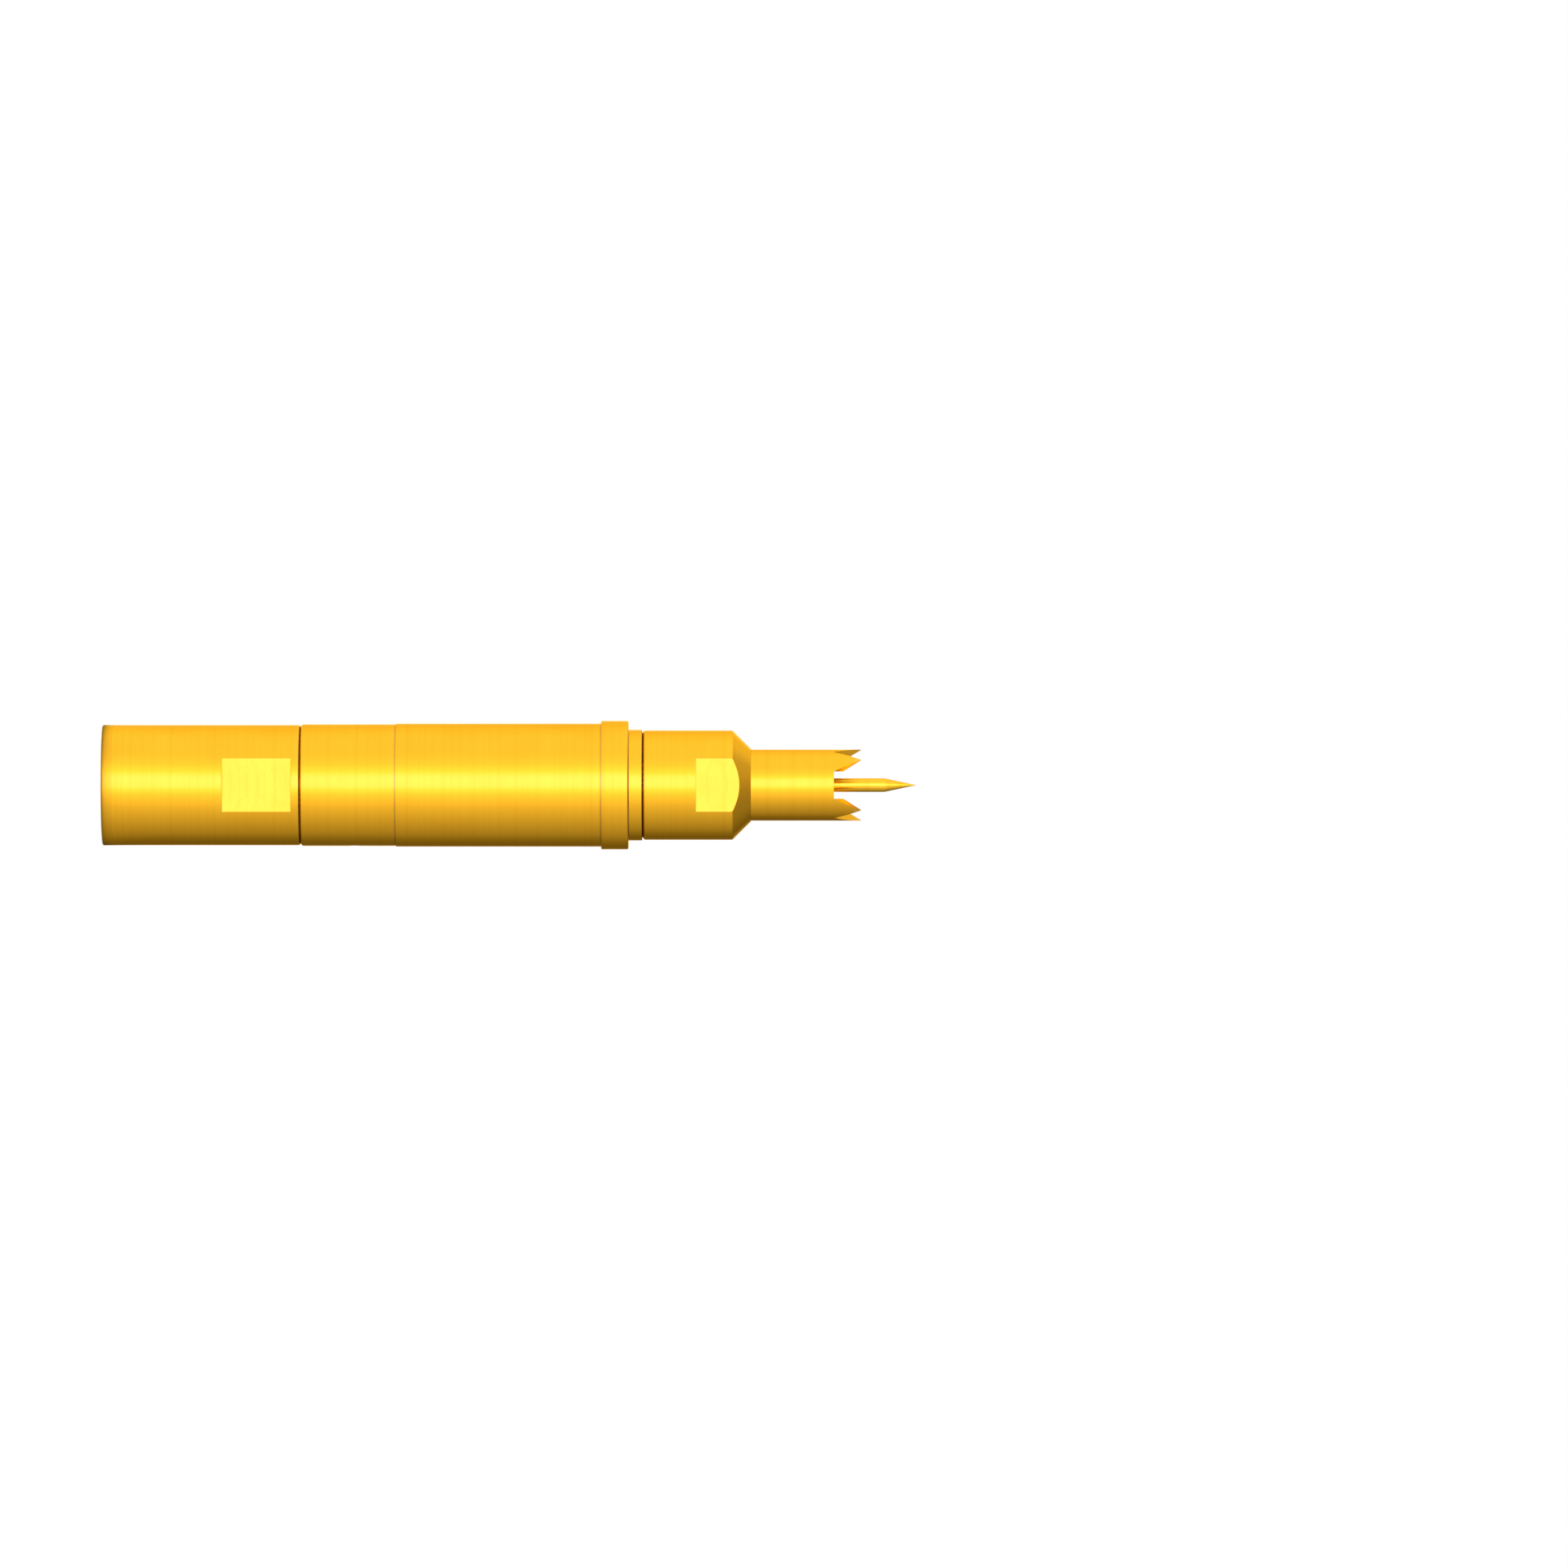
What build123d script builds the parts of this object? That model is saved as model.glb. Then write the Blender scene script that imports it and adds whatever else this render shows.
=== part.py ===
from build123d import *
import os
from math import cos, pi, radians, sin, sqrt, tan

# A spring loaded coaxial test probe, in millimetres. The axis of every turned piece is Z. The rear
# face of the connector lies on Z = 0, and the crown and the centre pin point to +Z.

# Lengths along the axis
connector_length = 7.2
land_length = 3.5
fit_length = 7.5
collar_length = 1.0
neck_length = 0.5
cap_length = 3.3
crown_reach = 4.03
pin_reach = 2.0

# Outside diameters
connector_diameter = 4.40
land_diameter = 4.45
fit_diameter = 4.50
collar_diameter = 4.70
neck_diameter = 4.05
cap_diameter = 4.00
crown_diameter = 2.60
pin_diameter = 0.50

# Wrench flats, facing -Y and +Y
connector_flats_width = 3.95
connector_flats_length = 2.5
connector_flats_setback = 0.3
cap_flats_width = 3.50
cap_flats_length = 2.0

# Edge breaks, which meet as fine grooves at the two seams
connector_edge = 0.03
barrel_edge = 0.09
cap_edge = 0.09
cap_mouth_land = 0.01
step_edge = 0.03
collar_edge = 0.03

# Crown teeth
tooth_divisions = 8
tooth_height = 1.0
countersink_angle = 60.0
tooth_land = 0.02

# Centre pin
pin_point_length = 1.15
pin_head_diameter = 0.66
pin_head_length = 2.0
ball_diameter = 0.60

# Strokes
crown_stroke = 3.0
pin_stroke = crown_stroke + pin_reach
stroke_margin = 0.3
tail_margin = 0.1

# Gaps
running_gap = 0.02
slide_gap = 0.05
seat_gap = 0.015
end_gap = 0.02

# Push-on jack at the rear
jack_diameter = 3.5
jack_depth = 2.6
jack_lead_in = 0.15
groove_diameter = 3.74
groove_start = 0.9
groove_width = 0.4
spigot_diameter = 3.5
spigot_length = 2.4
insulator_diameter = 2.9

# Centre contact of the jack
socket_diameter = 1.0
socket_bore_diameter = 0.54
socket_bore_depth = 2.4
socket_slot_width = 0.09
socket_slot_length = 2.0
socket_slot_count = 4
flange_diameter = 1.6
flange_length = 0.4
flange_setback = 3.4
cup_diameter = 0.60
cup_depth = 1.0

# Insulators and the pieces that hold them
clamp_ring_length = 0.4
sleeve_diameter = 1.80
sleeve_recess = 0.2
front_insulator_length = 2.0
front_insulator_setback = 1.3
throat_diameter = 1.44
retainer_length = 0.4
retainer_bore_diameter = 1.2

# Barrel bore and the staking hole that locks the connector in it
barrel_bore_diameter = 3.2
relief_depth = 0.05
stake_hole_diameter = 0.42
stake_hole_setback = 2.0

# Cap bore
skirt_diameter = 3.5
skirt_length = 2.25
skirt_bore_diameter = 3.1
lip_length = 2.2

# Crown plunger and the rings on its tail
tail_diameter = 2.24
stop_ring_length = 0.6
washer_thickness = 0.18
spring_seat_thickness = 0.4

# Tube that holds the centre pin
tube_diameter = 1.0
tube_bore_diameter = 0.70
lip_thickness = 0.2
lip_taper = 0.08
tube_plug_length = 1.2
tail_pin_length = 0.95

# Springs
crown_spring_diameter = 2.70
crown_wire_diameter = 0.28
crown_spring_turns = 10
pin_spring_diameter = 0.52
pin_wire_diameter = 0.08
pin_spring_turns = 18
wire_sides = 6
runs_per_turn = 12

# Heights of the outside steps, from the rear face
barrel_rear = connector_length
fit_rear = barrel_rear + land_length
collar_rear = fit_rear + fit_length
collar_front = collar_rear + collar_length
barrel_front = collar_front + neck_length
cap_bore_radius = crown_diameter / 2 + running_gap
cone_length = cap_diameter / 2 - cap_bore_radius - cap_mouth_land
cone_rear = barrel_front + cap_length
cap_front = cone_rear + cone_length
crown_tip = cap_front + crown_reach
groove_bottom = crown_tip - tooth_height
pin_tip = crown_tip + pin_reach

# Heights inside the connector
flange_rear = jack_depth + flange_setback
flange_front = flange_rear + flange_length
spigot_front = barrel_rear + spigot_length
bead_front = spigot_front - clamp_ring_length
socket_front = bead_front - (clamp_ring_length + sleeve_recess)
plug_rear = socket_front - tail_pin_length
plug_front = socket_front + tube_plug_length

# Heights inside the barrel and the crown
seat_front = spigot_front + spring_seat_thickness
tail_rear = seat_front + crown_stroke + tail_margin
lip_rear = cap_front - lip_length
head_rear = lip_rear - end_gap
ring_rear = head_rear - stop_ring_length
washer_rear = ring_rear - washer_thickness
ledge = crown_tip - front_insulator_setback
front_insulator_rear = ledge - front_insulator_length
retainer_rear = front_insulator_rear - retainer_length
tube_front = retainer_rear - crown_stroke - stroke_margin
sleeve_front = tube_front - lip_thickness
pin_head_front = tube_front - lip_thickness - end_gap
pin_head_rear = pin_head_front - pin_head_length
ball_centre = pin_head_rear - ball_diameter / 2

# Radii that two pieces share
jack_radius = jack_diameter / 2
insulator_bore_radius = insulator_diameter / 2
crown_radius = crown_diameter / 2
crown_bore_radius = sleeve_diameter / 2 + slide_gap
pin_radius = pin_diameter / 2
socket_radius = socket_diameter / 2
tube_radius = tube_diameter / 2
tube_bore_radius = tube_bore_diameter / 2
tail_radius = tail_diameter / 2
stop_ring_radius = skirt_bore_diameter / 2 - slide_gap
cup_radius = cup_diameter / 2


def turned(*corners):
    """Solid turned about the axis from the corners of its half section, as (radius, height)."""
    outline = Polyline(*[(radius, 0, height) for radius, height in corners], close=True)
    return revolve(make_face(outline), axis=Axis.Z)


def ring(inner_radius, outer_radius, rear, front):
    """Plain turned ring, or a disc where the inner radius is zero."""
    return turned((inner_radius, rear), (outer_radius, rear), (outer_radius, front), (inner_radius, front))


def flats(width, body_radius, rear, front):
    """The two blocks that a cutter takes away to leave flats at a width across them."""
    depth = body_radius
    block = Box(4 * body_radius, depth, front - rear)
    middle = (rear + front) / 2
    offset = (width + depth) / 2
    return [Pos(0, side * offset, middle) * block for side in (-1, 1)]


def ground_coil(mean_diameter, wire_diameter, turns, rear, front):
    """Compression spring with ground ends, its wire in short straight runs to keep it light."""
    radius = mean_diameter / 2
    start = rear - wire_diameter
    length = front - rear + 2 * wire_diameter
    all_turns = turns * length / (front - rear)
    runs = round(all_turns * runs_per_turn)
    points = []
    for index in range(runs + 1):
        angle = 2 * pi * all_turns * index / runs
        points.append((radius * cos(angle), radius * sin(angle), start + length * index / runs))
    path = Polyline(*points)
    section = Plane(path @ 0, z_dir=path % 0) * RegularPolygon(wire_diameter / 2, wire_sides)
    coil = sweep(section, path=path, transition=Transition.RIGHT)
    slab = Cylinder(mean_diameter, front - rear)
    return coil & Pos(0, 0, (rear + front) / 2) * slab


def connector_body():
    """Rear shell: push-on jack, wrench flats and the spigot that enters the barrel."""
    outer = connector_diameter / 2
    spigot = spigot_diameter / 2 - seat_gap
    groove = groove_diameter / 2
    groove_end = groove_start + groove_width
    body = turned(
        (jack_radius + jack_lead_in, 0),
        (outer, 0),
        (outer, barrel_rear - connector_edge),
        (outer - connector_edge, barrel_rear),
        (spigot, barrel_rear),
        (spigot, spigot_front),
        (insulator_bore_radius, spigot_front),
        (insulator_bore_radius, jack_depth),
        (jack_radius, jack_depth),
        (jack_radius, groove_end),
        (groove, groove_end),
        (groove, groove_start),
        (jack_radius, groove_start),
        (jack_radius, jack_lead_in),
    )
    front = barrel_rear - connector_flats_setback
    return body - flats(connector_flats_width, outer, front - connector_flats_length, front)


def connector_insulator():
    """Insulator behind the jack, with a counterbore for the socket's flange."""
    outer = insulator_bore_radius - seat_gap
    bore = socket_radius + seat_gap
    flange = flange_diameter / 2 + seat_gap
    return turned(
        (bore, jack_depth),
        (outer, jack_depth),
        (outer, flange_front),
        (flange, flange_front),
        (flange, flange_rear),
        (bore, flange_rear),
    )


def connector_socket():
    """Slotted centre contact with a flange, and a cup for the tail of the pin's tube."""
    bore = socket_bore_diameter / 2
    flange = flange_diameter / 2
    bore_floor = jack_depth + socket_bore_depth
    cup_floor = socket_front - cup_depth
    contact = turned(
        (bore, jack_depth),
        (socket_radius, jack_depth),
        (socket_radius, flange_rear),
        (flange, flange_rear),
        (flange, flange_front),
        (socket_radius, flange_front),
        (socket_radius, socket_front),
        (cup_radius, socket_front),
        (cup_radius, cup_floor),
        (0, cup_floor),
        (0, bore_floor),
        (bore, bore_floor),
    )
    reach = socket_diameter
    slot = Box(reach, socket_slot_width, socket_slot_length)
    middle = jack_depth + socket_slot_length / 2
    slots = [
        Rot(0, 0, 360 * index / socket_slot_count) * Pos(reach / 2, 0, middle) * slot
        for index in range(socket_slot_count)
    ]
    return contact - slots


def bead_insulator():
    """Insulator between the socket's flange and the clamp ring."""
    outer = insulator_bore_radius - seat_gap
    return ring(socket_radius + seat_gap, outer, flange_front, bead_front)


def clamp_ring():
    """Pressed ring that holds the two rear insulators in the connector."""
    inner = sleeve_diameter / 2 + seat_gap
    outer = insulator_bore_radius - seat_gap
    return ring(inner, outer, bead_front, spigot_front)


def barrel():
    """Main tube, with its plain land, fit land, collar, neck and staking hole."""
    land = land_diameter / 2
    fit = fit_diameter / 2
    collar = collar_diameter / 2
    neck = neck_diameter / 2
    bore = barrel_bore_diameter / 2
    rear_seat = spigot_diameter / 2
    front_seat = skirt_diameter / 2
    front_floor = barrel_front - skirt_length - relief_depth
    tube = turned(
        (rear_seat, barrel_rear),
        (land - barrel_edge, barrel_rear),
        (land, barrel_rear + barrel_edge),
        (land, fit_rear),
        (fit - step_edge, fit_rear),
        (fit, fit_rear + step_edge),
        (fit, collar_rear),
        (collar - collar_edge, collar_rear),
        (collar, collar_rear + collar_edge),
        (collar, collar_front - collar_edge),
        (collar - collar_edge, collar_front),
        (neck, collar_front),
        (neck, barrel_front),
        (front_seat, barrel_front),
        (front_seat, front_floor),
        (bore, front_floor),
        (bore, spigot_front),
        (rear_seat, spigot_front),
    )
    wall = land - bore
    hole = Cylinder(stake_hole_diameter / 2, 4 * wall)
    return tube - Pos(land, 0, barrel_rear + stake_hole_setback) * Rot(0, 90, 0) * hole


def front_cap():
    """Cap with a threaded skirt, a bore that guides the crown, a cone and wrench flats."""
    outer = cap_diameter / 2
    skirt = skirt_diameter / 2 - seat_gap
    skirt_bore = skirt_bore_diameter / 2
    skirt_rear = barrel_front - skirt_length
    cap = turned(
        (skirt_bore, skirt_rear),
        (skirt, skirt_rear),
        (skirt, barrel_front),
        (outer - cap_edge, barrel_front),
        (outer, barrel_front + cap_edge),
        (outer, cone_rear),
        (cap_bore_radius + cap_mouth_land, cap_front),
        (cap_bore_radius, cap_front),
        (cap_bore_radius, lip_rear),
        (skirt_bore, lip_rear),
    )
    flats_rear = cap_front - cap_flats_length
    return cap - flats(cap_flats_width, outer, flats_rear, cap_front + cone_length)


def spring_seat():
    """Washer on the spigot's end that the crown spring stands on."""
    inner = sleeve_diameter / 2 + seat_gap
    outer = barrel_bore_diameter / 2 - running_gap
    return ring(inner, outer, spigot_front, seat_front)


def dielectric_sleeve():
    """Long insulating sleeve round the pin's tube."""
    return ring(tube_radius + seat_gap, sleeve_diameter / 2, bead_front, sleeve_front)


def pin_tube():
    """Drawn tube of the centre pin, its front edge rolled in to hold the pin's head."""
    mouth = pin_radius + running_gap
    return turned(
        (tube_bore_radius, socket_front),
        (tube_radius, socket_front),
        (tube_radius, sleeve_front),
        (tube_radius - lip_taper, tube_front),
        (mouth, tube_front),
        (mouth, sleeve_front),
        (tube_bore_radius, sleeve_front),
    )


def tube_plug():
    """Plug in the tube's rear end, with the tail that sits in the socket's cup."""
    body = tube_bore_radius - seat_gap
    tail = cup_radius - seat_gap
    return turned(
        (0, plug_rear),
        (tail, plug_rear),
        (tail, socket_front),
        (body, socket_front),
        (body, plug_front),
        (0, plug_front),
    )


def tooth_groove():
    """Prism with a V section that cuts two opposite gaps between teeth."""
    half_width = crown_radius * sin(pi / tooth_divisions)
    extra = tooth_height / 4
    top_half_width = half_width * (tooth_height + extra) / tooth_height
    section = make_face(
        Polyline(
            (0, groove_bottom),
            (top_half_width, groove_bottom + tooth_height + extra),
            (-top_half_width, groove_bottom + tooth_height + extra),
            close=True,
        )
    )
    return extrude(Plane.XZ * section, amount=crown_diameter, both=True)


def tooth_slot():
    """Flat bottomed slot, from groove to groove, where two opposite teeth are left out."""
    width = crown_diameter * sin(pi / tooth_divisions)
    return Pos(0, 0, groove_bottom + tooth_height) * Box(width, 2 * crown_diameter, 2 * tooth_height)


def crown_plunger():
    """Outer conductor: crown of teeth, guided head, and the tail inside the crown spring."""
    throat = throat_diameter / 2
    mouth = crown_radius - tooth_land
    slope = tan(radians(countersink_angle / 2))
    countersink_floor = crown_tip - (mouth - throat) / slope
    blank = turned(
        (crown_bore_radius, tail_rear),
        (tail_radius, tail_rear),
        (tail_radius, head_rear),
        (crown_radius, head_rear),
        (crown_radius, crown_tip),
        (mouth, crown_tip),
        (throat, countersink_floor),
        (throat, ledge),
        (crown_bore_radius, ledge),
    )
    step = 360 / tooth_divisions
    grooves = [Rot(0, 0, (index + 0.5) * step) * tooth_groove() for index in range(tooth_divisions // 2)]
    return blank - grooves - tooth_slot()


def crown_stop_ring():
    """Ring pressed on the tail against the head, which stops the crown behind the cap's lip."""
    return ring(tail_radius + seat_gap, stop_ring_radius, ring_rear, head_rear)


def thrust_washer():
    """Thin washer between the stop ring and the crown spring."""
    return ring(tail_radius + seat_gap, stop_ring_radius, washer_rear, ring_rear)


def front_insulator():
    """Insulator that centres the pin in the crown."""
    outer = crown_bore_radius - seat_gap
    return ring(pin_radius + slide_gap, outer, front_insulator_rear, ledge)


def insulator_retainer():
    """Ring pressed in behind the front insulator."""
    outer = crown_bore_radius - seat_gap
    return ring(retainer_bore_diameter / 2, outer, retainer_rear, front_insulator_rear)


def centre_pin():
    """Pointed centre pin, with the head that runs in the tube."""
    head = pin_head_diameter / 2
    return turned(
        (0, pin_head_rear),
        (head, pin_head_rear),
        (head, pin_head_front),
        (pin_radius, pin_head_front),
        (pin_radius, pin_tip - pin_point_length),
        (0, pin_tip),
    )


def bias_ball():
    """Ball between the pin's head and its spring."""
    return Pos(0, 0, ball_centre) * Sphere(ball_diameter / 2)


def crown_spring():
    """Spring that holds the crown forward."""
    return ground_coil(
        crown_spring_diameter, crown_wire_diameter, crown_spring_turns, seat_front, washer_rear
    )


def pin_spring():
    """Spring that holds the pin forward, its front end round the ball's flank."""
    ball_radius = ball_diameter / 2
    coil_bore = (pin_spring_diameter - pin_wire_diameter) / 2
    front = ball_centre - sqrt(ball_radius**2 - coil_bore**2)
    return ground_coil(pin_spring_diameter, pin_wire_diameter, pin_spring_turns, plug_front, front)


pieces = [
    connector_body,
    connector_insulator,
    connector_socket,
    bead_insulator,
    clamp_ring,
    barrel,
    front_cap,
    spring_seat,
    dielectric_sleeve,
    pin_tube,
    tube_plug,
    crown_plunger,
    crown_stop_ring,
    thrust_washer,
    front_insulator,
    insulator_retainer,
    crown_spring,
    centre_pin,
    bias_ball,
    pin_spring,
]

os.makedirs("parts", exist_ok=True)
for piece in pieces:
    export_step(piece(), f"parts/{piece.__name__}.step")
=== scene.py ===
"""Looks of a spring loaded coaxial test probe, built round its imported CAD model."""

import logging
import math
from dataclasses import dataclass, replace
from enum import Enum
from typing import NamedTuple, Sequence, Union

import bmesh
import bpy
from mathutils import Matrix, Vector


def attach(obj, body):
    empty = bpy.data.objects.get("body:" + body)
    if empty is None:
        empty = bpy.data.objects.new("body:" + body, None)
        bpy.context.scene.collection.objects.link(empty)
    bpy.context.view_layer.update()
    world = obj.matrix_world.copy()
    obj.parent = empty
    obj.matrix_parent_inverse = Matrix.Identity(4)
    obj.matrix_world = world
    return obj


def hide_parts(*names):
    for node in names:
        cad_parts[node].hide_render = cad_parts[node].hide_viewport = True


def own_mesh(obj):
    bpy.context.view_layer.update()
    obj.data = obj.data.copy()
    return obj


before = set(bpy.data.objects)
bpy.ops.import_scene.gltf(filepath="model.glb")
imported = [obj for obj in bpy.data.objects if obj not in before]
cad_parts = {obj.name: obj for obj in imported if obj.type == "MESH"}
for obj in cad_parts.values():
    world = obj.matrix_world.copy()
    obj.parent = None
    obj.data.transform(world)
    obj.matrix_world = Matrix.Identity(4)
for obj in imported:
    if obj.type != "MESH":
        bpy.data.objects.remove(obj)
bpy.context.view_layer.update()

log = logging.getLogger("probe")

MM = 0.001
FULL_TURN = 2 * math.pi
QUARTER_TURN = math.pi / 2

# Numbers of facets: round the axis, in a rounded corner, and in an edge broken after a cut
TURN_STEPS = 192
THIN_TURN_STEPS = 96
DRILL_STEPS = 64
CORNER_STEPS = 5
BREAK_STEPS = 3

# Angles between two faces from which their edge is shaded sharp, or is broken
SOFT_ANGLE = math.radians(22)
CRISP_ANGLE = math.radians(12)
WIRE_ANGLE = math.radians(60)
BREAK_ANGLE = math.radians(60)

# Widths of edge breaks on turned pieces, in millimetres
STEP_EDGE = 0.02
END_EDGE = 0.03
COLLAR_EDGE = 0.035
SEAM_EDGE = 0.04
RIM_EDGE = 0.05
LEAD_EDGE = 0.06

# Distance in millimetres from a cut to the extra ring that keeps the faces beside it short
RING_SPACING = 0.1

# Distances in millimetres within which corners are merged, or count as on a cutting plane
MERGE_DISTANCE = 1e-5
PLANE_DISTANCE = 1e-6

# How much large faces outweigh narrow ones in the shading, from 1 to 100
LARGE_FACE_WEIGHT = 100

# Places of the Mix node's colour inputs and output, whose names other sockets share
MIX_INPUTS = (6, 7)
MIX_OUTPUT = 2

BMesh = bmesh.types.BMesh
Socket = bpy.types.NodeSocket
Colour = tuple[float, float, float]
Point = tuple[float, float, float]
Number = Union[Socket, float]
Tint = Union[Socket, Colour]


class Body(Enum):
    """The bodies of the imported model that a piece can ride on."""

    SHELL = "root"
    CROWN = "crown"
    PIN = "pin"


class Corner(NamedTuple):
    """One corner of a half section, in millimetres."""

    radius: float
    height: float
    edge: float = 0.0


# Modelling tools


def turned(corners: Sequence[Corner], closed: bool = True, steps: int = TURN_STEPS) -> BMesh:
    """Spins a half section about the axis, with its corners rounded by their edge breaks.

    Args:
        corners: The half section's corners in order.
        closed: Whether the last corner joins the first. An open section ends on the axis.
        steps: Number of facets round the axis.

    Returns:
        A bmesh in millimetres with its normals outward.
    """
    bm = bmesh.new()
    verts = [bm.verts.new((corner.radius, 0.0, corner.height)) for corner in corners]
    for start, end in zip(verts, verts[1:]):
        bm.edges.new((start, end))
    if closed:
        bm.edges.new((verts[-1], verts[0]))
    for vert, corner in zip(verts, corners):
        if corner.edge > 0:
            bmesh.ops.bevel(
                bm, geom=[vert], offset=corner.edge, offset_type="OFFSET", segments=CORNER_STEPS,
                profile=0.5, affect="VERTICES", material=-1,
            )
    bmesh.ops.spin(
        bm, geom=bm.verts[:] + bm.edges[:], cent=(0, 0, 0), axis=(0, 0, 1), angle=FULL_TURN,
        steps=steps, use_merge=True,
    )
    bmesh.ops.remove_doubles(bm, verts=bm.verts[:], dist=MERGE_DISTANCE)
    bmesh.ops.recalc_face_normals(bm, faces=bm.faces[:])
    return bm


def block(low: Point, high: Point) -> BMesh:
    """Makes a box between two opposite corners.

    Args:
        low: The corner with the least coordinates, in millimetres.
        high: The corner with the greatest.

    Returns:
        The box as a bmesh in millimetres.
    """
    bm = bmesh.new()
    bmesh.ops.create_cube(bm, size=1.0)
    bmesh.ops.scale(bm, vec=Vector(high) - Vector(low), verts=bm.verts[:])
    bmesh.ops.translate(bm, vec=(Vector(high) + Vector(low)) / 2, verts=bm.verts[:])
    return bm


def rotated(bm: BMesh, angle: float, axis: str) -> BMesh:
    """Turns a bmesh about the X, Y or Z axis by an angle in radians, and returns it."""
    bmesh.ops.rotate(bm, cent=(0, 0, 0), matrix=Matrix.Rotation(angle, 3, axis), verts=bm.verts[:])
    return bm


def flat_cutters(width: float, reach: float, rear: float, front: float) -> list[BMesh]:
    """Makes the two blocks that leave wrench flats facing -Y and +Y.

    Args:
        width: Distance across the flats.
        reach: Radius of the body that the blocks pass over.
        rear: Height where the flats start.
        front: Height where they end.

    Returns:
        Two cutters in millimetres.
    """
    wide = 2 * reach
    lower = block((-wide, -wide, rear), (wide, -width / 2, front))
    upper = block((-wide, width / 2, rear), (wide, wide, front))
    return [lower, upper]


def scratch_object(bm: BMesh, name: str) -> bpy.types.Object:
    """Puts a bmesh into a linked object, and frees the bmesh.

    Args:
        bm: The bmesh.
        name: Name of the object and of its mesh.

    Returns:
        The new object.
    """
    mesh = bpy.data.meshes.new(name)
    bm.to_mesh(mesh)
    bm.free()
    obj = bpy.data.objects.new(name, mesh)
    bpy.context.scene.collection.objects.link(obj)
    return obj


def settle(obj: bpy.types.Object) -> None:
    """Turns an object's modifiers into its own mesh.

    Args:
        obj: The object.
    """
    graph = bpy.context.evaluated_depsgraph_get()
    graph.update()
    made = bpy.data.meshes.new_from_object(obj.evaluated_get(graph))
    old = obj.data
    obj.modifiers.clear()
    obj.data = made
    bpy.data.meshes.remove(old)


def cut(obj: bpy.types.Object, cutters: Sequence[BMesh]) -> None:
    """Takes each cutter away from an object, one after the other.

    Args:
        obj: The object, in millimetres.
        cutters: The cutters, which are used up.
    """
    tools = [scratch_object(bm, f"cutter_{index}") for index, bm in enumerate(cutters)]
    for tool in tools:
        step = obj.modifiers.new(tool.name, "BOOLEAN")
        step.operation = "DIFFERENCE"
        step.solver = "EXACT"
        step.object = tool
    settle(obj)
    for tool in tools:
        mesh = tool.data
        bpy.data.objects.remove(tool)
        bpy.data.meshes.remove(mesh)


def break_edges(obj: bpy.types.Object, width: float) -> None:
    """Rounds the steep outer edges that cuts have left on an object.

    Args:
        obj: The object, in millimetres.
        width: Width of the rounding in millimetres.
    """
    bm = bmesh.new()
    bm.from_mesh(obj.data)
    steep = [edge for edge in bm.edges if edge.is_convex and edge.calc_face_angle(0.0) > BREAK_ANGLE]
    bmesh.ops.bevel(
        bm, geom=steep, offset=width, offset_type="OFFSET", segments=BREAK_STEPS, profile=0.5,
        affect="EDGES", clamp_overlap=False, material=-1,
    )
    bm.to_mesh(obj.data)
    bm.free()


def smooth(obj: bpy.types.Object, sharp: float) -> None:
    """Shades an object smooth between its sharp edges, with its large faces kept flat.

    Args:
        obj: The object.
        sharp: Angle in radians from which an edge stays sharp.
    """
    obj.data.shade_smooth()
    obj.data.set_sharp_from_angle(angle=sharp)
    step = obj.modifiers.new("normals", "WEIGHTED_NORMAL")
    step.keep_sharp = True
    step.weight = LARGE_FACE_WEIGHT
    settle(obj)


# Finishes


class Ramp(NamedTuple):
    """The values between which a mapped value rises or falls, and its results there."""

    start: float
    end: float
    start_result: float = 0.0
    end_result: float = 1.0


class Pattern(NamedTuple):
    """A noise pattern: its scale per millimetre, and how many finer layers it has."""

    scale: float
    detail: float


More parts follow.
